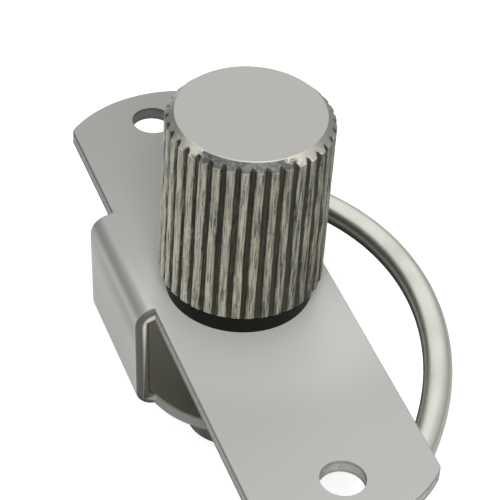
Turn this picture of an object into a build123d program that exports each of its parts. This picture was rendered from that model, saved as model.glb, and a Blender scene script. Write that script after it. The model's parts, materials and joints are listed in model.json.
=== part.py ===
from build123d import *
import math
import os

# A spring-loaded panel latch. A folded plate is screwed behind a panel, a knurled knob on a sprung pin
# stands in front of it, and a wire bail on the same pin reaches out from behind.
# Millimetres. +Z runs up the pin's axis, out of the panel's front. +X runs along the plate, and the
# plate's folded wall is on -Y. The origin is on the pin's axis, in the plate's top face.

# Sheet bracket
sheet = 1.8
plate_length = 80.7
plate_width = 22.8
plate_shift = 1.05
plate_end_radius = 17.0
plate_end_skew = 1.2
plate_corner_radius = 1.2
far_edge_inset = 0.6
plate_edge_round = 0.25
screw_margin = 6.55
screw_shift = 0.4
screw_hole_d = 5.4
wall_far_x = -17.0
wall_near_x = 2.0
wall_lean = 0.65
bend_radius = 0.7
bracket_depth = 16.1
fold_outer_round = 0.7
fold_inner_round = 0.5
tab_lobe_r = 11.3
tab_lobe_x = -1.5
tab_lobe_meet = 150.0
tab_shoulder = 3.6

# Knob
knob_d = 20.0
knob_height = 23.4
knob_top_bevel = 1.1
knob_foot_bevel = 0.35
knurl_count = 36
knurl_depth = 0.55
knurl_angle = 75.0
knurl_turn = 1.5
stud_d = 6.0
stud_length = 14.0
stud_clearance = 0.02
stud_hole_spare = 1.5

# Guide bush
collar_d = 18.0
collar_height = 2.8
collar_edge_round = 0.3

# Plunger
pin_d = 11.0
pin_end_z = -23.4
pin_end_bevel = 0.5
groove_depth = 0.25
groove_low_z = -16.25
groove_width = 0.75
stem_d = 8.0
stem_flats = 7.0
running_clearance = 0.06

# Pull bail
wire_d = 3.6
bail_z = -12.05
bail_tilt = 13.8
bail_bow_radius = 37.5
bail_reach = 24.7
bail_corner_radius = 6.0
eye_wall = 0.9

# Spring and its seat
seat_thickness = 0.6
seat_d = 20.4
seat_bore_spare = 0.4
spring_wire_d = 0.8
spring_turns = 4.0
spring_side_gap = 0.25
spring_top_inset = 2.0

# Places worked out from those sizes
plate_far_x = plate_shift - plate_length / 2
plate_near_x = plate_shift + plate_length / 2
plate_edge_y = plate_width / 2
bend_mid = bend_radius + sheet / 2
tab_top_z = -bracket_depth + sheet
eye_r = wire_d / 2 + running_clearance
pin_top_z = bail_z + eye_r + eye_wall
knob_foot_z = collar_height
knob_top_z = knob_foot_z + knob_height
seat_z = -sheet - seat_thickness
screw_spacing = plate_length - 2 * screw_margin


def flatted_round(diameter, across_flats):
    """A round with two flats, added to the open sketch."""
    Circle(diameter / 2)
    Rectangle(diameter, across_flats, mode=Mode.INTERSECT)


# Mounting bracket: plate, wall and tab are one folded sheet
far_arc_x = plate_far_x + plate_end_radius
near_arc_x = plate_near_x - plate_end_radius
inset_y = -plate_edge_y + far_edge_inset
wide_run = math.sqrt(plate_end_radius**2 - (plate_edge_y + plate_end_skew) ** 2)
close_run = math.sqrt(plate_end_radius**2 - (plate_edge_y - plate_end_skew) ** 2)
inset_run = math.sqrt(plate_end_radius**2 - (plate_end_skew - inset_y) ** 2)
wall_mid_y = -plate_edge_y - bend_mid
tab_root_y = wall_mid_y + wall_lean + bend_mid
lobe_meet_x = tab_lobe_x + tab_lobe_r * math.cos(math.radians(tab_lobe_meet))
lobe_meet_y = tab_lobe_r * math.sin(math.radians(tab_lobe_meet))

# Wall and the root of the tab, one strip bent down from the plate's edge, its cut ends worn round
with BuildPart() as folded_strip:
    with BuildSketch(Plane.YZ.offset(wall_far_x)):
        with BuildLine():
            FilletPolyline(
                (-plate_edge_y + sheet, -sheet / 2),
                (wall_mid_y, -sheet / 2),
                (wall_mid_y + wall_lean, tab_top_z - sheet / 2),
                (tab_root_y + sheet / 2, tab_top_z - sheet / 2),
                radius=bend_mid,
            )
        trace(line_width=sheet)
    extrude(amount=wall_near_x - wall_far_x)
    for end in (0, -1):
        end_edges = folded_strip.faces().sort_by(Axis.X)[end].edges()
        fillet([e for e in end_edges if e.center().Y < wall_mid_y], fold_outer_round)
        inner_edges = folded_strip.faces().sort_by(Axis.X)[end].edges()
        fillet([e for e in inner_edges if wall_mid_y < e.center().Y < tab_root_y], fold_inner_round)

with BuildPart() as mounting_bracket:
    # Plate with straight long edges and shallow round ends, each end's arc struck off the middle line
    with BuildSketch(Plane.XY.offset(-sheet)) as plate_outline:
        with BuildLine():
            Polyline(
                (far_arc_x - inset_run, inset_y),
                (wall_far_x, inset_y),
                (wall_far_x, -plate_edge_y),
                (near_arc_x + close_run, -plate_edge_y),
            )
            ThreePointArc(
                (near_arc_x + close_run, -plate_edge_y),
                (plate_near_x, -plate_end_skew),
                (near_arc_x + wide_run, plate_edge_y),
            )
            Line((near_arc_x + wide_run, plate_edge_y), (far_arc_x - close_run, plate_edge_y))
            ThreePointArc(
                (far_arc_x - close_run, plate_edge_y),
                (plate_far_x, plate_end_skew),
                (far_arc_x - inset_run, inset_y),
            )
        make_face()
        ends = plate_outline.vertices().sort_by(Axis.X)
        fillet(ends[:2] + ends[-2:], plate_corner_radius)
    extrude(amount=sheet)
    fillet(mounting_bracket.faces().sort_by(Axis.Z)[-1].edges(), plate_edge_round)
    add(folded_strip.part)

    # Tab: a round lobe about the pin, with a shoulder out to the wall's far end
    with BuildSketch(Plane.XY.offset(-bracket_depth)):
        with Locations((tab_lobe_x, 0)):
            Circle(tab_lobe_r)
        Polygon(
            (wall_far_x, tab_root_y),
            (wall_near_x, tab_root_y),
            (0, 0),
            (lobe_meet_x, lobe_meet_y),
            (wall_far_x, tab_root_y + tab_shoulder),
            align=None,
        )
    extrude(amount=sheet)

    # Screw holes, the bush's hole and the pin's hole
    with BuildSketch(Plane.XY.offset(-sheet)):
        Circle(collar_d / 2)
        with Locations((screw_shift, 0)):
            with GridLocations(screw_spacing, 0, 2, 1):
                Circle(screw_hole_d / 2)
    extrude(amount=sheet, mode=Mode.SUBTRACT)
    with BuildSketch(Plane.XY.offset(-bracket_depth)):
        Circle(pin_d / 2 + running_clearance)
    extrude(amount=sheet, mode=Mode.SUBTRACT)

# Guide bush: a collar pressed through the plate, with a flatted bore. The knob comes down on it.
with BuildPart() as guide_bush:
    with BuildSketch(Plane.XY.offset(-sheet)):
        Circle(collar_d / 2)
    extrude(amount=sheet + collar_height)
    fillet(guide_bush.faces().sort_by(Axis.Z)[-1].edges(), collar_edge_round)
    with BuildSketch(Plane.XY.offset(-sheet)):
        flatted_round(stem_d + 2 * running_clearance, stem_flats + 2 * running_clearance)
    extrude(amount=sheet + collar_height, mode=Mode.SUBTRACT)

# Knob: turned, then cut with straight knurling, then bevelled at both ends
groove_half = knurl_depth * math.tan(math.radians(knurl_angle / 2))

with BuildPart() as knob:
    with BuildSketch(Plane.XY.offset(knob_foot_z)):
        Circle(knob_d / 2)
        with PolarLocations(knob_d / 2, knurl_count, start_angle=knurl_turn):
            Polygon((0, -groove_half), (0, groove_half), (-knurl_depth, 0), align=None, mode=Mode.SUBTRACT)
    extrude(amount=knob_height)
    with BuildSketch(Plane.XZ):
        with BuildLine():
            Polyline(
                (0, knob_foot_z),
                (knob_d / 2 - knob_foot_bevel, knob_foot_z),
                (knob_d / 2, knob_foot_z + knob_foot_bevel),
                (knob_d / 2, knob_top_z - knob_top_bevel),
                (knob_d / 2 - knob_top_bevel, knob_top_z),
                (0, knob_top_z),
                close=True,
            )
        make_face()
    revolve(axis=Axis.Z, mode=Mode.INTERSECT)
    with BuildSketch(Plane.XY.offset(knob_foot_z)):
        Circle(stud_d / 2 + stud_clearance)
    extrude(amount=stud_length + stud_hole_spare, mode=Mode.SUBTRACT)

# Plunger: pin, flatted stem and stud turned from one bar, with a grease groove where it runs in the tab,
# and a cross hole for the bail
with BuildPart() as plunger:
    with BuildSketch(Plane.XY.offset(pin_end_z)):
        Circle(pin_d / 2)
    extrude(amount=pin_top_z - pin_end_z)
    chamfer(plunger.faces().sort_by(Axis.Z)[0].edges(), pin_end_bevel)
    with BuildSketch(Plane.XY.offset(pin_top_z)):
        flatted_round(stem_d, stem_flats)
    extrude(amount=knob_foot_z - pin_top_z)
    with BuildSketch(Plane.XY.offset(knob_foot_z)):
        Circle(stud_d / 2)
    extrude(amount=stud_length)
    with BuildSketch(Plane.XY.offset(groove_low_z)):
        Circle(pin_d / 2)
        Circle(pin_d / 2 - groove_depth, mode=Mode.SUBTRACT)
    extrude(amount=groove_width, mode=Mode.SUBTRACT)
    with BuildSketch(Plane.YZ):
        with Locations((0, bail_z)):
            Circle(eye_r)
    extrude(amount=pin_d, both=True, mode=Mode.SUBTRACT)

# Pull bail: round wire bent to a flat-sided loop, its straight side through the plunger
bail_plane = Plane(origin=(0, 0, bail_z), x_dir=(1, 0, 0), z_dir=(0, 0, 1)).rotated((bail_tilt, 0, 0))
bow_centre = bail_reach - bail_bow_radius
corner_to_bow = bail_bow_radius - bail_corner_radius
corner_x = math.sqrt(corner_to_bow**2 - (bail_corner_radius - bow_centre) ** 2)
bow_end_x = corner_x * bail_bow_radius / corner_to_bow
bow_end_y = bow_centre + (bail_corner_radius - bow_centre) * bail_bow_radius / corner_to_bow
bow_end_angle = math.atan2(bow_end_y - bow_centre, bow_end_x)
corner_mid_angle = (bow_end_angle - math.pi / 2) / 2
corner_mid_x = corner_x + bail_corner_radius * math.cos(corner_mid_angle)
corner_mid_y = bail_corner_radius * (1 + math.sin(corner_mid_angle))

with BuildPart() as pull_bail:
    with BuildLine(bail_plane) as bail_path:
        Line((0, 0), (corner_x, 0))
        ThreePointArc((corner_x, 0), (corner_mid_x, corner_mid_y), (bow_end_x, bow_end_y))
        ThreePointArc((bow_end_x, bow_end_y), (0, bail_reach), (-bow_end_x, bow_end_y))
        ThreePointArc((-bow_end_x, bow_end_y), (-corner_mid_x, corner_mid_y), (-corner_x, 0))
        Line((-corner_x, 0), (0, 0))
    with BuildSketch(Plane.YZ):
        with Locations((0, bail_z)):
            Circle(wire_d / 2)
    sweep(path=bail_path.wires()[0])

# Spring seat: a washer under the plate, which keeps the spring off the bush and the bush in its hole
with BuildPart() as spring_seat:
    with BuildSketch(Plane.XY.offset(seat_z)):
        Circle(seat_d / 2)
        Circle(stem_d / 2 + seat_bore_spare, mode=Mode.SUBTRACT)
    extrude(amount=seat_thickness)

# Plunger spring: a cone coil that closes almost flat, standing on the pin's shoulder
foot_mean_r = stem_d / 2 + spring_side_gap + spring_wire_d / 2
top_mean_r = seat_d / 2 - spring_top_inset - spring_wire_d / 2
spring_height = seat_z - pin_top_z - spring_wire_d
cone_angle = math.degrees(math.atan2(top_mean_r - foot_mean_r, spring_height))

with BuildPart() as plunger_spring:
    with BuildLine() as coil:
        Helix(
            pitch=spring_height / spring_turns,
            height=spring_height,
            radius=foot_mean_r,
            center=(0, 0, pin_top_z + spring_wire_d / 2),
            cone_angle=cone_angle,
        )
    with BuildSketch(Plane(origin=coil.line @ 0, z_dir=coil.line % 0)):
        Circle(spring_wire_d / 2)
    sweep(path=coil.line, is_frenet=True)

pieces = {
    "mounting_bracket": mounting_bracket,
    "guide_bush": guide_bush,
    "knob": knob,
    "plunger": plunger,
    "pull_bail": pull_bail,
    "spring_seat": spring_seat,
    "plunger_spring": plunger_spring,
}

os.makedirs("parts", exist_ok=True)
for name, piece in pieces.items():
    piece.part.label = name
    export_step(piece.part, f"parts/{name}.step")
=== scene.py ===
import json
import math

import bpy
from bpy.props import FloatProperty, FloatVectorProperty, IntProperty, PointerProperty
from bpy.types import Operator, Panel, PropertyGroup
from mathutils import Euler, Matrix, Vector


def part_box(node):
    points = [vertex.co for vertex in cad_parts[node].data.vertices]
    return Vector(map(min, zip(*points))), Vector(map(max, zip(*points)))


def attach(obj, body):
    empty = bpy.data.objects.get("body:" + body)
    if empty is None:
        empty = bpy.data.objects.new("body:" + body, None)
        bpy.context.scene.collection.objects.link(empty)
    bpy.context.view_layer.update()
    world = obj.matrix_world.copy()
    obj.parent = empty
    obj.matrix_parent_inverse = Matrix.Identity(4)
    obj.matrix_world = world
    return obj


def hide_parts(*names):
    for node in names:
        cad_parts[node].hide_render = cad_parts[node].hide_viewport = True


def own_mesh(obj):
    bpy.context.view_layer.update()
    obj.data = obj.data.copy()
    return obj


bl_info = {
    "name": "Panel Latch Dresser",
    "version": (1, 0, 0),
    "blender": (4, 5, 0),
    "location": "View3D > Sidebar > Latch",
    "description": "Finishes a packed spring-loaded panel latch and sets it in a small studio",
    "category": "Object",
}

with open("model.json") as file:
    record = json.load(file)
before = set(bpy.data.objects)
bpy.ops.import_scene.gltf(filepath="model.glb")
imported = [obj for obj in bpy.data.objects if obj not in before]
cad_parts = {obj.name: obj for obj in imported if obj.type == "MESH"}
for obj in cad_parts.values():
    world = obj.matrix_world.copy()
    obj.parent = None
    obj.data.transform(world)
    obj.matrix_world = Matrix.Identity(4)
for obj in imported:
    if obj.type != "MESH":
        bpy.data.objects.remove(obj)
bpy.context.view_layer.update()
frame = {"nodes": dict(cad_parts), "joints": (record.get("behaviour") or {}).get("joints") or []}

MM = 0.001

knob_low, knob_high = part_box("knob")
spring_low, spring_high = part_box("plunger_spring")
SEAT_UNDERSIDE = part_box("spring_seat")[0].z
LIFT_RANGE = next(j["range_m"][1] for j in frame["joints"] if j["name"] == "plunger_lift")

# Sizes of the CAD pieces that the finishes and the scene's own pieces keep to
KNOB_RADIUS = 10 * MM
TOP_BEVEL, FOOT_BEVEL = 1.1 * MM, 0.35 * MM
BORE_RADIUS, BORE_DEPTH = 3.02 * MM, 15.5 * MM
STEM_RADIUS = 4 * MM
PLATE_UNDERSIDE = -1.8 * MM
TAB_TOP = -14.3 * MM

# The fold: its bends turn about FOLD_LINE, and the wall is flat between the two heights and leans in
FOLD_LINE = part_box("mounting_bracket")[0].y + 2.5 * MM
FOLD_HIGH, FOLD_LOW = -2.5 * MM, -13.6 * MM
WALL_SLOPE = 0.045

# Directions along the floor, as X and Y
# The first points to the camera, where the plate gets painted light and the knob's bevel a painted
# reflection; the second is the side where the knob gets painted shade
CAMERA_SIDE = (0.92, -0.39)
SHADED_SIDE = (0.39, 0.92)
LEFT_FRONT = (0.15, -0.99)

# The camera's place in metres and its turn in degrees, and each lamp's place and side in metres
CAMERA_PLACE, CAMERA_TURN = (0.19142, -0.08069, 0.18609), (48.8853, -3.3532, 69.7718)
KEY_PLACE, KEY_SIDE = (0.5, -0.2, 0.52), 0.34
TOP_PLACE, TOP_SIDE = (-0.25, 0.25, 0.8), 0.5
FLOOR_HALF = 3.0

NEVER_ZERO = 1e-8  # square metres, under a root that something is divided by

# How finely the scene's own pieces are made
POINTS_A_RIDGE = 16
CRISP = 0.04 * MM  # from an edge to the rings that keep it sharp

# Sockets of a Mix node of colours, whose sockets share their names
FIRST_COLOUR, SECOND_COLOUR, MIXED_COLOUR = 6, 7, 2


# ---------------------------------------------------------------- user's values


class LatchSizes(PropertyGroup):
    """Sizes of the pieces that are made here."""

    ridge_count: IntProperty(name="Ridges", description="Ridges round the knob", default=36, min=8)
    groove_depth: FloatProperty(
        name="Groove depth",
        description="How deep the knurling is cut",
        default=0.55 * MM,
        unit="LENGTH",
    )
    groove_share: FloatProperty(
        name="Groove share",
        description="Share of the pitch that a groove takes",
        default=0.52,
        subtype="FACTOR",
    )
    groove_wander: FloatProperty(
        name="Groove wander",
        description="How far grooves stray, in pitches",
        default=0.06,
        subtype="FACTOR",
    )
    knurl_turn: FloatProperty(
        name="Knurl turn",
        description="Where the first groove lies",
        default=math.radians(1.5),
        subtype="ANGLE",
    )
    ridge_wear: FloatProperty(
        name="Ridge wear", description="How much the ridges are dented", default=0.1 * MM, unit="LENGTH"
    )
    spring_wire: FloatProperty(
        name="Spring wire", description="Diameter of the spring's wire", default=0.8 * MM, unit="LENGTH"
    )
    spring_turns: FloatProperty(
        name="Spring turns", description="Turns of the cone spring", default=4.5
    )


class LatchColours(PropertyGroup):
    """Colours of the finishes."""

    sheet: FloatVectorProperty(
        name="Sheet", description="Satin stainless sheet", default=(0.5, 0.505, 0.48), subtype="COLOR"
    )
    knob: FloatVectorProperty(
        name="Knob", description="Turned and knurled steel", default=(0.59, 0.58, 0.55), subtype="COLOR"
    )
    ridge: FloatVectorProperty(
        name="Ridge",
        description="Worn ridges of the knurling",
        default=(0.76, 0.75, 0.62),
        subtype="COLOR",
    )
    # Also the colour of the painted shade on one side of the knob and towards its foot
    grime_and_shade: FloatVectorProperty(
        name="Grime",
        description="Dark film in the knurling",
        default=(0.1, 0.095, 0.078),
        subtype="COLOR",
    )
    pin: FloatVectorProperty(
        name="Pin", description="Turned pin", default=(0.6, 0.6, 0.56), subtype="COLOR"
    )
    wire: FloatVectorProperty(
        name="Wire", description="Half polished wire", default=(0.88, 0.88, 0.79), subtype="COLOR"
    )
    bush: FloatVectorProperty(
        name="Bush", description="Black moulded bush", default=(0.003, 0.003, 0.0027), subtype="COLOR"
    )


class StudioSettings(PropertyGroup):
    """The floor, the lamps and the camera."""

    floor_height: FloatProperty(
        name="Floor", description="Height of the floor", default=-42 * MM, unit="LENGTH"
    )
    lens: FloatProperty(name="Lens", description="Focal length", default=164.06, unit="CAMERA")
    key_radiance: FloatProperty(name="Key", description="Brightness of the key softbox", default=16.0)
    top_radiance: FloatProperty(name="Top", description="Brightness of the top softbox", default=1.5)


# ---------------------------------------------------------------- node making


class Wire:
    """An output socket that takes part in Python sums, each of which adds a Math node."""

    def __init__(self, maker, socket):
        self.maker = maker
        self.socket = socket

    def _math(self, operation, a, b=0.0):
        return self.maker.node("ShaderNodeMath", {"operation": operation}, {0: a, 1: b})

    def __add__(self, other):
        return self._math("ADD", self, other)

    def __sub__(self, other):
        return self._math("SUBTRACT", self, other)

    def __rsub__(self, other):
        return self._math("SUBTRACT", other, self)

    def __mul__(self, other):
        return self._math("MULTIPLY", self, other)

    def __truediv__(self, other):
        return self._math("DIVIDE", self, other)

    def __pow__(self, other):
        return self._math("POWER", self, other)

    __radd__ = __add__
    __rmul__ = __mul__

    def at_least(self, other):
        return self._math("MAXIMUM", self, other)

    def at_most(self, other):
        return self._math("MINIMUM", self, other)

    def fraction(self):
        return self._math("FRACT", self)

    def size(self):
        return self._math("ABSOLUTE", self)

    def step(self, low, high):
        """0 below low, 1 above high, smooth between."""
        return self.maker.node(
            "ShaderNodeMapRange",
            {"interpolation_type": "SMOOTHSTEP"},
            {"Value": self, "From Min": low, "From Max": high, "To Min": 0.0, "To Max": 1.0},
        )

    def band(self, low, high, soft):
        """1 between low and high, 0 outside, with soft edges."""
        return self.step(low - soft, low) * (1 - self.step(high, high + soft))


class NodeMaker:
    """Adds nodes to one tree."""

    def __init__(self, tree):
        self.tree = tree

    def feed(self, socket, value):
        if isinstance(value, Wire):
            self.tree.links.new(value.socket, socket)
        elif isinstance(value, (tuple, list)) and len(value) == 3 and len(socket.default_value) == 4:
            socket.default_value = (*value, 1.0)
        else:
            socket.default_value = value

    def node(self, kind, settings=None, inputs=None, out=0):
        """A new node of that kind, its settings made first and then its sockets fed.

        Gives its output out, or a list of outputs where out is a tuple.
        """
        made = self.tree.nodes.new(kind)
        for key, value in (settings or {}).items():
            setattr(made, key, value)
        for key, value in (inputs or {}).items():
            self.feed(made.inputs[key], value)
        if isinstance(out, tuple):
            return [Wire(self, made.outputs[key]) for key in out]
        return Wire(self, made.outputs[out]) if made.outputs else None

    def parts(self, vector):
        """The X, Y and Z of a vector."""
        return self.node("ShaderNodeSeparateXYZ", None, {0: vector}, out=("X", "Y", "Z"))

    def vector(self, x, y, z):
        return self.node("ShaderNodeCombineXYZ", None, {0: x, 1: y, 2: z})

    def scaled(self, vector, factors):
        return self.node("ShaderNodeVectorMath", {"operation": "MULTIPLY"}, {0: vector, 1: factors})

    def noise(self, vector, scale, detail=2.0, roughness=0.5, stretch=None):
        """Noise from 0 to 1, scale cycles a metre. A small factor in stretch draws it out that way."""
        if stretch:
            vector = self.scaled(vector, stretch)
        return self.node(
            "ShaderNodeTexNoise",
            None,
            {"Vector": vector, "Scale": scale, "Detail": detail, "Roughness": roughness},
        )


class Finish(NodeMaker):
    """A material and the nodes in it."""

    def __init__(self, name):
        self.material = bpy.data.materials.new(name)
        self.material.use_nodes = True
        super().__init__(self.material.node_tree)
        self.tree.nodes.clear()
        self.place, self.normal = self.node("ShaderNodeTexCoord", out=("Object", "Normal"))

    def mix(self, first, second, share):
        """The first colour turning to the second as share goes from 0 to 1."""
        colours = {0: share, FIRST_COLOUR: first, SECOND_COLOUR: second}
        return self.node("ShaderNodeMix", {"data_type": "RGBA"}, colours, out=MIXED_COLOUR)

    def bump(self, height, depth, strength):
        """A normal bent by height, which is worth depth in metres."""
        return self.node(
            "ShaderNodeBump", None, {"Height": height, "Distance": depth, "Strength": strength}
        )

    def surface(self, **sockets):
        """Ends the material in a Principled shader with these sockets."""
        named = {}
        for key, value in sockets.items():
            named[key.replace("_", " ").title().replace("Ior", "IOR")] = value
        shader = self.node("ShaderNodeBsdfPrincipled", None, named)
        self.node("ShaderNodeOutputMaterial", None, {"Surface": shader})
        return self.material


class ShapeRule(NodeMaker):
    """A Geometry Nodes tree with named inputs."""

    def __init__(self, name):
        tree = bpy.data.node_groups.new(name, "GeometryNodeTree")
        super().__init__(tree)
        tree.interface.new_socket("Geometry", in_out="INPUT", socket_type="NodeSocketGeometry")
        tree.interface.new_socket("Geometry", in_out="OUTPUT", socket_type="NodeSocketGeometry")
        self.entry = tree.nodes.new("NodeGroupInput")

    def value(self, name, default):
        """A named number that the tree takes in."""
        socket = self.tree.interface.new_socket(name, in_out="INPUT", socket_type="NodeSocketFloat")
        socket.default_value = default
        return Wire(self, self.entry.outputs[name])

    def end(self, geometry, material):
        """Realizes what the tree made, gives it its material and sends it out."""
        real = self.node("GeometryNodeRealizeInstances", None, {0: geometry})
        smooth = self.node("GeometryNodeSetShadeSmooth", None, {"Geometry": real, "Shade Smooth": True})
        painted = self.node("GeometryNodeSetMaterial", None, {"Geometry": smooth, "Material": material})
        self.node("NodeGroupOutput", None, {0: painted})
        return self.tree


def input_key(tree, name):
    """The identifier of a tree's named input."""
    return next(
        item.identifier
        for item in tree.interface.items_tree
        if item.item_type == "SOCKET" and item.in_out == "INPUT" and item.name == name
    )


def grown(name, mesh, tree, values):
    """A plain mesh object: the mesh as the tree leaves it with those values."""
    source = bpy.data.objects.new(name + "_source", mesh)
    bpy.context.scene.collection.objects.link(source)
    modifier = source.modifiers.new("shape", "NODES")
    modifier.node_group = tree
    for key, value in values.items():
        modifier[input_key(tree, key)] = value
    bpy.context.view_layer.update()
    evaluated = source.evaluated_get(bpy.context.evaluated_depsgraph_get())
    made = bpy.data.meshes.new_from_object(evaluated)
    made.name = name
    source.modifiers.clear()
    bpy.data.objects.remove(source)
    piece = bpy.data.objects.new(name, made)
    bpy.context.scene.collection.objects.link(piece)
    return piece


def dress(node, material):
    """Gives a CAD node its material."""
    mesh = frame["nodes"][node].data
    mesh.materials.clear()
    mesh.materials.append(material)
    for face in mesh.polygons:
        face.material_index = 0


def turned(name, profile, segments):
    """A closed mesh turned about Z from (radius, height) points that start and end on the axis."""
    points = []
    faces = []
    starts = []
    for radius, height in profile:
        starts.append(len(points))
        if radius == 0:
            points.append((0.0, 0.0, height))
            continue
        for i in range(segments):
            angle = 2 * math.pi * i / segments
            points.append((radius * math.cos(angle), radius * math.sin(angle), height))
    for (r0, _), (r1, _), a, b in zip(profile, profile[1:], starts, starts[1:]):
        for i in range(segments):
            j = (i + 1) % segments
            if r0 == 0:
                faces.append((a, b + j, b + i))
            elif r1 == 0:
                faces.append((a + i, a + j, b))
            else:
                faces.append((a + i, a + j, b + j, b + i))
    mesh = bpy.data.meshes.new(name)
    mesh.from_pydata(points, [], faces)
    mesh.validate()
    mesh.update()
    return mesh


def between(start, end, steps):
    """Points from start to end, both of them in it."""
    return [tuple(a + (b - a) * i / steps for a, b in zip(start, end)) for i in range(steps + 1)]


def shade(colour, share):
    """A colour times share."""
    return tuple(c * share for c in colour)


# ---------------------------------------------------------------- finishes


def satin_sheet(colour):
    """Satin stainless sheet with nicked cut edges, painted light towards the near end, on the wall's
    outside and in front of the knob, and painted shade along the bend, in the screw holes and inside
    the fold.
    """
    f = Finish("satin_sheet")
    cloud = f.noise(f.place, 55, 2)
    grain = f.noise(f.place, 2600, 3, 0.6)
    rolled = f.noise(f.place, 900, 2, 0.5, stretch=(0.04, 1.0, 1.0))
    tears = f.noise(f.place, 1500, 4, 0.75)
    chatter = f.noise(f.place, 1500, 3, 0.6, stretch=(1.0, 1.0, 0.1))
    x, y, z = f.parts(f.place)
    nx, ny, nz = f.parts(f.normal)

    # Cut edges of the plate and of the tab, and the walls of the two screw holes, which carry painted
    # shade
    upright = 1 - nz.size().step(0.25, 0.6)
    off_fold = y.step(-12.7 * MM, -12.2 * MM)
    plate_edge = upright * z.band(PLATE_UNDERSIDE - 0.1 * MM, 0.2 * MM, 0.05 * MM) * off_fold
    mid_edge = z.band(-1.3 * MM, -0.6 * MM, 0.25 * MM)
    tab_edge = upright * (1 - z.step(TAB_TOP, TAB_TOP + 0.2 * MM))
    nicks = (tears.step(0.54, 0.64) + chatter.step(0.6, 0.75) * 0.5).at_most(1.0) * plate_edge
    hole_wall = plate_edge * y.band(-4 * MM, 4 * MM, 0.5 * MM)
    far_hole_shade = hole_wall * x.step(-20 * MM, -25 * MM) * nx.step(0.1, 0.5)
    near_hole_shade = hole_wall * x.band(31 * MM, 37.5 * MM, 0.3 * MM)

    # The fold's cut end, dark in a band along its outer side and lighter higher up on the rest
    past_bend = (z - FOLD_HIGH).at_least(0.0) + (FOLD_LOW - z).at_least(0.0)
    outward = ((y + z * WALL_SLOPE - FOLD_LINE) ** 2 + past_bend * past_bend) ** 0.5
    wall_end = nx.step(0.1, 0.5) * y.step(-10.6 * MM, -11.4 * MM)
    end_outer_band = wall_end * outward.step(1.5 * MM, 1.9 * MM)
    end_upper_part = wall_end * (1 - end_outer_band) * z.step(-7 * MM, -2 * MM)

    # The bend, where shade is painted; the wall's outside, where light is painted; the space inside the
    # fold, painted as shade; and the plate in front of the knob, where light is painted
    # Painted shade along the bend
    bent = nz.band(0.12, 0.75, 0.25) * ny.step(-0.3, -0.5)
    wall = ny.step(-0.75, -0.95) * y.step(-12.4 * MM, -12.8 * MM)
    inside = z.band(TAB_TOP - 0.3 * MM, PLATE_UNDERSIDE + 0.05 * MM, 0.05 * MM)
    inside = inside * y.band(-12.4 * MM, 12 * MM, 0.2 * MM)
    # Painted light: the sheet is lighter towards the near end, and so is the wall
    near_end_light = x.step(-40 * MM, 30 * MM).at_least(wall * x.step(-24 * MM, -4 * MM))
    from_axis = (x * x + y * y) ** 0.5
    # Painted light on the plate in front of the knob, offsetting the shade that the knob casts there
    light_before_knob = (x * CAMERA_SIDE[0] + y * CAMERA_SIDE[1]).step(-6 * MM, 9 * MM)
    light_before_knob = light_before_knob * nz.step(0.9, 0.98) * (1 - from_axis.step(9 * MM, 26 * MM))

    # The tone carries painted light towards the near end, in front of the knob and on the wall's
    # outside, painted shade along the bend, and darker cut edges with a lighter middle
    tone = 0.66 + near_end_light * 0.2 + light_before_knob * 0.27 + cloud * 0.04 + grain * 0.03 + wall * 0.3
    tone = tone - bent * 0.26 - plate_edge * (0.34 - mid_edge * 0.42) - tab_edge * 0.2
    # More painted light lower down on the wall's outside and in front of the knob
    painted_light = wall * (1 - z.step(-7 * MM, -2 * MM)) * 0.95 + light_before_knob * 0.3
    base = f.mix((0, 0, 0), colour, tone)
    base = f.mix(base, shade(colour, 1.4), painted_light)
    base = f.mix(base, shade(colour, 0.3), nicks * 0.9)
    base = f.mix(base, shade(colour, 0.16), end_outer_band * 0.95)
    base = f.mix(base, (0.68, 0.67, 0.55), end_upper_part * 0.75)
    # Painted shade on the walls of the two screw holes
    base = f.mix(base, shade(colour, 0.2), far_hole_shade * 0.8)
    base = f.mix(base, shade(colour, 0.5), near_hole_shade * 0.5)
    # Painted shade inside the fold: a yellower colour that turns fully metallic, so that the lamps
    # don't light it
    base = f.mix(base, (0.5, 0.49, 0.42), inside * 0.8)
    height = grain * 0.5 + rolled * 0.6 + tears * plate_edge * 5
    return f.surface(
        base_color=base,
        metallic=0.18 + inside * 0.82,
        roughness=0.36 + grain * 0.07 + cloud * 0.05 + plate_edge * 0.1,
        normal=f.bump(height, 0.004 * MM, 0.6),
    )


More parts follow.
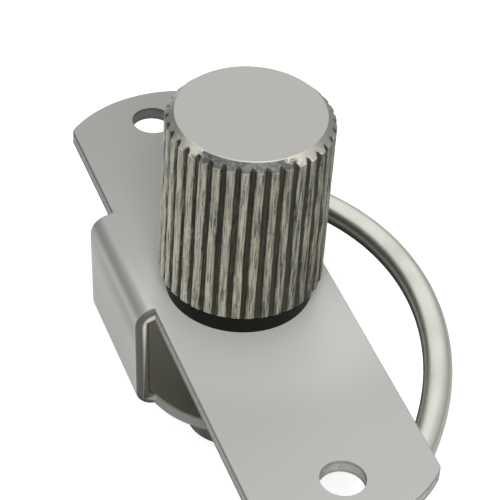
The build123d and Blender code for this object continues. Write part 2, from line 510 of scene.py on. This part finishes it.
def knurled_steel(colour, ridge, grime_and_shade, top):
    """Turned steel, tan and pitted on the ridges, dark in the grooves, with painted shade on one side
    and towards the foot, and a painted reflection and painted highlights on the bevel.
    """
    f = Finish("knurled_steel")
    depth = f.node("ShaderNodeAttribute", {"attribute_name": "groove"}, out="Fac")
    x, y, z = f.parts(f.place)
    nz = f.parts(f.normal)[2]
    streaks = f.noise(f.place, 2300, 4, 0.65, stretch=(1.0, 1.0, 0.1))
    patches = f.noise(f.place, 420, 3, 0.6, stretch=(1.0, 1.0, 0.3))
    pits = f.noise(f.place, 3000, 4, 0.75, stretch=(1.0, 1.0, 0.5))
    lines = f.noise(f.place, 5600, 2, 0.7, stretch=(1.0, 1.0, 0.045))
    scuffs = f.noise(f.place, 1300, 4, 0.7, stretch=(1.0, 1.0, 2.0))
    side = 1 - z.step(top - TOP_BEVEL - 0.02 * MM, top - 1.0 * MM)
    bevel = (1 - side) * nz.band(0.45, 0.85, 0.1)

    # Painted shade: the knob is darker on one side and towards its foot
    shaded_side = (x * SHADED_SIDE[0] + y * SHADED_SIDE[1]) / KNOB_RADIUS
    foot = 1 - z.step(top - 23 * MM, top - 14 * MM)
    side_and_foot_shade = shaded_side.step(-0.5, 0.9) * 0.32 + foot * shaded_side.step(-0.4, 0.4) * 0.25
    dark = patches.step(0.5, 0.75) * 0.25 + streaks.step(0.48, 0.72) * 0.45
    dark = dark + pits.step(0.54, 0.7) * 0.45 + lines.step(0.48, 0.62) * 0.5 + side_and_foot_shade
    dark = dark * side + depth.step(0.05, 0.7) * 0.92 - lines.step(0.46, 0.34) * 0.3 * side
    dark = dark.at_least(0.0).at_most(1.0) * 0.94

    # The bevel: a painted dark reflection in front, painted highlights on both sides of it, and a thin
    # painted highlight along the rim above it
    fronting = (x * CAMERA_SIDE[0] + y * CAMERA_SIDE[1]) / KNOB_RADIUS
    edge = fronting + (scuffs - 0.5) * 0.3
    bevel_dark_reflection = bevel * edge.step(0.74, 0.82)
    bright = bevel * edge.band(0.5, 0.74, 0.08)
    rim_highlight = z.step(top - 0.14 * MM, top - 0.07 * MM) * (1 - nz.step(0.95, 0.99))
    rim_highlight = rim_highlight * fronting.step(0.5, 0.8)

    base = f.mix(colour, ridge, side)
    base = f.mix(base, grime_and_shade, dark)
    # Painted highlights and a painted dark reflection on the bevel, and a painted highlight on its rim
    base = f.mix(base, (0.85, 0.84, 0.72), bright * 0.9)
    base = f.mix(base, shade(colour, 0.2), bevel_dark_reflection * (0.7 + scuffs.step(0.4, 0.6) * 0.25))
    base = f.mix(base, (0.85, 0.85, 0.8), rim_highlight * 0.8)
    height = streaks * side * 3 + pits * side * 3 + pits * 0.1 + scuffs * bevel * 1.5
    return f.surface(
        base_color=base,
        metallic=1.0,
        roughness=0.32 + side * 0.1 + dark * 0.2 + bevel_dark_reflection * 0.1 + pits * 0.06,
        normal=f.bump(height, 0.02 * MM, 0.8),
    )


def turned_steel(colour):
    """A turned pin with fine rings."""
    f = Finish("turned_steel")
    rings = f.noise(f.place, 5200, 2, 0.6, stretch=(0.05, 0.05, 1.0))
    film = f.noise(f.place, 380, 3, 0.6)
    return f.surface(
        base_color=f.mix(colour, shade(colour, 0.5), film.step(0.45, 0.75) * 0.6),
        metallic=1.0,
        roughness=0.3 + rings * 0.08 + film * 0.1,
        normal=f.bump(rings, 0.004 * MM, 0.5),
    )


def polished_wire(colour):
    """Drawn wire, half polished, with faint marks along it, with painted shade and a little more
    roughness on the side that faces the pin.
    """
    f = Finish("polished_wire")
    film = f.noise(f.place, 160, 3, 0.55)
    marks = f.noise(f.place, 1800, 3, 0.6, stretch=(0.3, 1.0, 1.0))
    x, y, _ = f.parts(f.place)
    nx, ny, nz = f.parts(f.normal)
    inward = (0 - x * nx - y * ny) / (x * x + y * y + NEVER_ZERO) ** 0.5
    inner_side_shade = inward.step(0.0, 0.6) * (1 - nz.step(0.5, 0.85))
    base = f.mix(colour, shade(colour, 0.82), film.step(0.4, 0.8))
    # Painted shade on the side that faces the pin
    base = f.mix(base, shade(colour, 0.3), inner_side_shade * 0.85)
    return f.surface(
        base_color=base,
        metallic=1.0,
        roughness=0.25 + film * 0.06 + marks * 0.05 + inner_side_shade * 0.06,
        normal=f.bump(marks, 0.003 * MM, 0.5),
    )


def spring_steel(colour):
    """Drawn spring wire with a darker film."""
    f = Finish("spring_steel")
    film = f.noise(f.place, 900, 3, 0.6)
    return f.surface(
        base_color=f.mix(colour, shade(colour, 0.6), film),
        metallic=1.0,
        roughness=0.28 + film * 0.12,
        normal=f.bump(film, 0.004 * MM, 0.4),
    )


def black_plastic(colour):
    """Moulded black plastic with a fine grain."""
    f = Finish("black_plastic")
    grain = f.noise(f.place, 3200, 3, 0.6)
    dust = f.noise(f.place, 500, 4, 0.7)
    return f.surface(
        base_color=f.mix(colour, shade(colour, 2.4), dust.step(0.4, 0.8)),
        specular_ior_level=0.15,
        roughness=0.42 + grain * 0.12,
        normal=f.bump(grain, 0.006 * MM, 0.5),
    )


# ---------------------------------------------------------------- shape rules


def knurl_rule(material):
    """Cuts wandering vertical grooves into a turned body, and stores how deep each point lies."""
    rule = ShapeRule("Straight knurl")
    count = rule.value("Ridges", 36.0)
    start = rule.value("Start", 0.0)
    depth = rule.value("Groove Depth", 0.5 * MM)
    share = rule.value("Groove Share", 0.7)
    wander = rule.value("Groove Wander", 0.1)
    wear = rule.value("Ridge Wear", 0.1 * MM)
    radius = rule.value("Radius", KNOB_RADIUS)
    seed = rule.value("Seed", 0.0)
    position = rule.node("GeometryNodeInputPosition")
    x, y, z = rule.parts(position)
    from_axis = (x * x + y * y) ** 0.5
    angle = rule.node("ShaderNodeMath", {"operation": "ARCTAN2"}, {0: y, 1: x})
    turn = (angle - start) / (2 * math.pi)

    # Across a groove, side runs from -1 to 1, and the noise bends the groove along its length
    slow = rule.noise(rule.vector(x, y, z * 0.15 + seed), 500, 2, 0.5)
    phase = (turn * count + (slow - 0.5) * wander * 4 + 0.5).fraction()
    side = (phase - 0.5) * 2

    # A groove's flanks vary in patches, some patches keep a burr in the middle, and dents lie anywhere
    patch = rule.noise(rule.vector(x, y, z * 0.12 + seed + 3), 800, 3, 0.6)
    flank = 1 - (side.size() / (share * (0.8 + patch * 0.4))).at_most(1.0)
    burr = 1 - ((side - 0.1).size() / 0.12).at_most(1.0)
    cut = (flank * 1.5).at_most(1.0) - burr * patch.step(0.35, 0.6) * 0.55
    dents = rule.noise(rule.vector(x, y, z * 0.4 + seed + 7), 1300, 3, 0.6).step(0.45, 0.85)
    sunk = depth * cut * (0.8 + patch * 0.3) + wear * dents

    # Points further out than the limit move in to it
    limit = radius - sunk.at_most(depth)
    reached = (from_axis - limit).step(-0.02 * MM, 0.06 * MM)
    shrink = from_axis.at_most(limit) / from_axis.at_least(1e-6)
    moved = rule.vector(x * shrink, y * shrink, z)
    body = Wire(rule, rule.entry.outputs["Geometry"])
    stored = rule.node(
        "GeometryNodeStoreNamedAttribute",
        {"data_type": "FLOAT", "domain": "POINT"},
        {"Geometry": body, "Name": "groove", "Value": cut * reached},
    )
    knurled = rule.node("GeometryNodeSetPosition", None, {"Geometry": stored, "Position": moved})
    return rule.end(knurled, material)


def cone_spring_rule(material):
    """A cone spring that stands on its small end, both end turns closed flat."""
    rule = ShapeRule("Cone spring")
    turns = rule.value("Turns", 4.5)
    foot_radius = rule.value("Foot Radius", 4.6 * MM)
    top_radius = rule.value("Top Radius", 7.8 * MM)
    height = rule.value("Height", 6 * MM)
    foot = rule.value("Foot", -9 * MM)
    wire = rule.value("Wire Radius", 0.4 * MM)
    coil = rule.node(
        "GeometryNodeCurveSpiral",
        None,
        {
            "Resolution": 40,
            "Rotations": turns,
            "Start Radius": foot_radius,
            "End Radius": top_radius,
            "Height": height,
        },
    )
    x, y, z = rule.parts(rule.node("GeometryNodeInputPosition"))
    rise = (z / height).step(0.1, 0.92)
    even = ((z / height - 0.1) / 0.82).at_least(0.0).at_most(1.0)
    lift = (rise * 0.25 + even * 0.75) * height + foot
    position = rule.vector(x, y, lift)
    bent = rule.node("GeometryNodeSetPosition", None, {"Geometry": coil, "Position": position})
    section = rule.node("GeometryNodeCurvePrimitiveCircle", None, {"Resolution": 14, "Radius": wire})
    swept = rule.node(
        "GeometryNodeCurveToMesh", None, {"Curve": bent, "Profile Curve": section, "Fill Caps": True}
    )
    return rule.end(swept, material)


# ---------------------------------------------------------------- operators


class LATCH_OT_stage(Operator):
    """Builds the floor, the lamps, the surroundings and the camera"""

    bl_idname = "latch.stage"
    bl_label = "Build Stage"

    def execute(self, context):
        studio = context.scene.latch_studio
        floor_mesh = bpy.data.meshes.new("floor")
        corners = [(-1, -1), (1, -1), (1, 1), (-1, 1)]
        points = [(x * FLOOR_HALF, y * FLOOR_HALF, studio.floor_height) for x, y in corners]
        floor_mesh.from_pydata(points, [], [(0, 1, 2, 3)])
        floor = bpy.data.objects.new("floor", floor_mesh)
        context.scene.collection.objects.link(floor)
        floor_mesh.materials.append(self.floor_finish())
        self.surroundings(context.scene)
        self.softbox("key", Vector(KEY_PLACE), KEY_SIDE, studio.key_radiance)
        self.softbox("top", Vector(TOP_PLACE), TOP_SIDE, studio.top_radiance)
        camera_data = bpy.data.cameras.new("camera")
        camera_data.lens = studio.lens
        camera_data.sensor_width = 36.0
        camera_data.clip_start = 0.01
        camera = bpy.data.objects.new("camera", camera_data)
        camera.location = CAMERA_PLACE
        camera.rotation_euler = Euler([math.radians(a) for a in CAMERA_TURN])
        context.scene.collection.objects.link(camera)
        context.scene.camera = camera
        context.scene.view_settings.view_transform = "Standard"
        return {"FINISHED"}

    def floor_finish(self):
        """Pale matt floor, white to the camera apart from the shadow, dark in places to metal, with a
        painted shadow under the part.
        """
        f = Finish("pale_floor")
        tooth = f.noise(f.place, 240, 3, 0.6)
        x, y, _ = f.parts(f.place)
        seen, mirrored = f.node("ShaderNodeLightPath", out=("Is Camera Ray", "Is Glossy Ray"))

        # Metal sees the floor dark on the left and on the right, and a painted shadow under the part
        left_dark = (x * LEFT_FRONT[0] + y * LEFT_FRONT[1]).step(70 * MM, 130 * MM) * 0.85
        right_dark = (x * 0.3 + y * 0.95).step(20 * MM, 60 * MM) * 0.45
        below = x.band(-50 * MM, 50 * MM, 12 * MM) * y.band(-36 * MM, 30 * MM, 8 * MM) * 0.9
        hidden = (left_dark + right_dark).at_least(below) * mirrored

        paint = f.mix((0.8, 0.8, 0.8), (0.84, 0.84, 0.84), tooth)
        paint = f.mix(paint, (0.02, 0.02, 0.02), hidden)
        matt = f.node("ShaderNodeBsdfDiffuse", None, {"Color": paint, "Roughness": 0.6})
        lift = f.node("ShaderNodeEmission", None, {"Color": (1, 1, 1), "Strength": seen * 0.45})
        both = f.node("ShaderNodeAddShader", None, {0: matt, 1: lift})
        f.node("ShaderNodeOutputMaterial", None, {"Surface": both})
        return f.material

    def surroundings(self, scene):
        """White to the camera, dim to matt surfaces, and to metal a room with dark and bright parts."""
        world = bpy.data.worlds.new("pale_room")
        scene.world = world
        world.use_nodes = True
        w = NodeMaker(world.node_tree)
        w.tree.nodes.clear()
        direction = w.node("ShaderNodeTexCoord", out="Generated")
        x, y, z = w.parts(direction)
        seen, glossy = w.node("ShaderNodeLightPath", out=("Is Camera Ray", "Is Glossy Ray"))

        # The room is brighter in front, higher up and in one strip, and darker low on the left, at the
        # far right and along the skyline on the wall's side
        front = (x * 0.72 + y * 0.1 + z * 0.68).step(0.6, 0.96)
        low = 1 - z.step(0.42, 0.62)
        left = (x * LEFT_FRONT[0] + y * LEFT_FRONT[1]).step(0.35, 0.7)
        skyline = (1 - z.size().step(0.1, 0.35)) * y.step(0.5, 0.0)
        far_right = (x * 0.2 + y * 0.98).step(0.35, 0.85)
        strip = z.band(0.45, 0.62, 0.08) * (0 - y).step(0.55, 0.8)
        room = 0.5 + z.step(0.05, 0.45) * 0.35 + front * 0.55 + strip * 0.45
        room = room * (1 - left * low * 0.96) * (1 - far_right * 0.35) * (1 - skyline * 0.75)

        strength = seen + (1 - seen) * (glossy * room + (1 - glossy) * 0.28)
        sky = w.node("ShaderNodeBackground", None, {"Color": (1, 1, 1), "Strength": strength})
        w.node("ShaderNodeOutputWorld", None, {"Surface": sky})

    def softbox(self, name, place, side, radiance):
        """A square lamp of that side and brightness, turned to the origin and unseen by metal."""
        lamp = bpy.data.lights.new(name, "AREA")
        lamp.shape = "SQUARE"
        lamp.size = side
        lamp.energy = radiance * math.pi * side * side
        holder = bpy.data.objects.new(name, lamp)
        holder.location = place
        holder.rotation_euler = (-place).to_track_quat("-Z", "Y").to_euler()
        holder.visible_glossy = False
        bpy.context.scene.collection.objects.link(holder)


class LATCH_OT_bracket(Operator):
    """Finishes the folded bracket and the spring's seat"""

    bl_idname = "latch.bracket"
    bl_label = "Finish Bracket"

    def execute(self, context):
        finish = satin_sheet(tuple(context.scene.latch_colours.sheet))
        dress("mounting_bracket", finish)
        dress("spring_seat", finish)
        return {"FINISHED"}


class LATCH_OT_bush(Operator):
    """Finishes the guide bush"""

    bl_idname = "latch.bush"
    bl_label = "Finish Bush"

    def execute(self, context):
        dress("guide_bush", black_plastic(tuple(context.scene.latch_colours.bush)))
        return {"FINISHED"}


class LATCH_OT_knob(Operator):
    """Builds the knob with its uneven knurling"""

    bl_idname = "latch.knob"
    bl_label = "Build Knob"

    def execute(self, context):
        sizes = context.scene.latch_sizes
        colours = context.scene.latch_colours
        foot, top = knob_low.z, knob_high.z
        rim, bore_top = KNOB_RADIUS, foot + BORE_DEPTH
        foot_rim, side_foot = rim - FOOT_BEVEL, foot + FOOT_BEVEL
        top_rim, side_top = rim - TOP_BEVEL, top - TOP_BEVEL
        outline = [(0.0, bore_top), (BORE_RADIUS, bore_top)]
        outline += between((BORE_RADIUS, foot), (foot_rim - CRISP, foot), 6)
        outline += between((foot_rim, foot), (rim - CRISP, side_foot - CRISP), 3)
        outline += between((rim, side_foot), (rim, side_top - CRISP), 56)
        outline.append((rim, side_top))
        outline += between((rim - CRISP, side_top + CRISP), (top_rim + CRISP, top - CRISP), 10)
        outline.append((top_rim, top))
        outline += between((top_rim - CRISP, top), (1 * MM, top), 6)
        outline.append((0.0, top))
        body = turned("knurled_knob_body", outline, POINTS_A_RIDGE * sizes.ridge_count)
        steel, ridge, grime_and_shade = tuple(colours.knob), tuple(colours.ridge), tuple(colours.grime_and_shade)
        finish = knurled_steel(steel, ridge, grime_and_shade, top)
        values = {
            "Ridges": float(sizes.ridge_count),
            "Start": sizes.knurl_turn,
            "Groove Depth": sizes.groove_depth,
            "Groove Share": sizes.groove_share,
            "Groove Wander": sizes.groove_wander,
            "Ridge Wear": sizes.ridge_wear,
            "Radius": rim,
            "Seed": 0.0,
        }
        piece = grown("knurled_knob", body, knurl_rule(finish), values)
        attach(piece, "plunger")
        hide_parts("knob")
        return {"FINISHED"}


class LATCH_OT_plunger(Operator):
    """Finishes the pin and its stem"""

    bl_idname = "latch.plunger"
    bl_label = "Finish Plunger"

    def execute(self, context):
        dress("plunger", turned_steel(tuple(context.scene.latch_colours.pin)))
        return {"FINISHED"}


class LATCH_OT_bail(Operator):
    """Finishes the pull bail"""

    bl_idname = "latch.bail"
    bl_label = "Finish Bail"

    def execute(self, context):
        dress("pull_bail", polished_wire(tuple(context.scene.latch_colours.wire)))
        return {"FINISHED"}


class LATCH_OT_spring(Operator):
    """Builds the cone spring"""

    bl_idname = "latch.spring"
    bl_label = "Build Spring"

    def execute(self, context):
        sizes = context.scene.latch_sizes
        wire = sizes.spring_wire / 2
        foot, top = spring_low.z + wire, spring_high.z - wire
        widest = max(-spring_low.x, spring_high.x, -spring_low.y, spring_high.y)
        side_gap, top_spare = 0.25 * MM, 0.1 * MM
        values = {
            "Turns": sizes.spring_turns,
            "Foot Radius": STEM_RADIUS + side_gap + wire,
            "Top Radius": widest - wire - top_spare,
            "Height": top - foot,
            "Foot": foot,
            "Wire Radius": wire,
        }
        finish = spring_steel(tuple(context.scene.latch_colours.pin))
        seed = bpy.data.meshes.new("cone_spring_seed")
        piece = grown("cone_spring", seed, cone_spring_rule(finish), values)
        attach(piece, "bracket")
        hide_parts("plunger_spring")
        height = SEAT_UNDERSIDE - spring_low.z
        keep = (height - LIFT_RANGE) / height
        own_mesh(piece)
        return {"FINISHED"}


STEPS = (
    LATCH_OT_stage,
    LATCH_OT_bracket,
    LATCH_OT_bush,
    LATCH_OT_knob,
    LATCH_OT_plunger,
    LATCH_OT_bail,
    LATCH_OT_spring,
)


class LATCH_PT_panel(Panel):
    """Lists what dresses the latch"""

    bl_idname = "LATCH_PT_panel"
    bl_label = "Panel Latch"
    bl_space_type = "VIEW_3D"
    bl_region_type = "UI"
    bl_category = "Latch"

    def draw(self, context):
        scene = context.scene
        for group in (scene.latch_sizes, scene.latch_colours, scene.latch_studio):
            box = self.layout.box()
            for name in group.__annotations__:
                box.prop(group, name)
        for step in STEPS:
            self.layout.operator(step.bl_idname)


CLASSES = (LatchSizes, LatchColours, StudioSettings, *STEPS, LATCH_PT_panel)


def register():
    for item in CLASSES:
        bpy.utils.register_class(item)
    bpy.types.Scene.latch_sizes = PointerProperty(type=LatchSizes)
    bpy.types.Scene.latch_colours = PointerProperty(type=LatchColours)
    bpy.types.Scene.latch_studio = PointerProperty(type=StudioSettings)


def unregister():
    del bpy.types.Scene.latch_studio
    del bpy.types.Scene.latch_colours
    del bpy.types.Scene.latch_sizes
    for item in reversed(CLASSES):
        bpy.utils.unregister_class(item)


def main():
    register()
    bpy.ops.latch.stage()
    bpy.ops.latch.bracket()
    bpy.ops.latch.bush()
    bpy.ops.latch.knob()
    bpy.ops.latch.plunger()
    bpy.ops.latch.bail()
    bpy.ops.latch.spring()


if __name__ == "__main__":
    main()
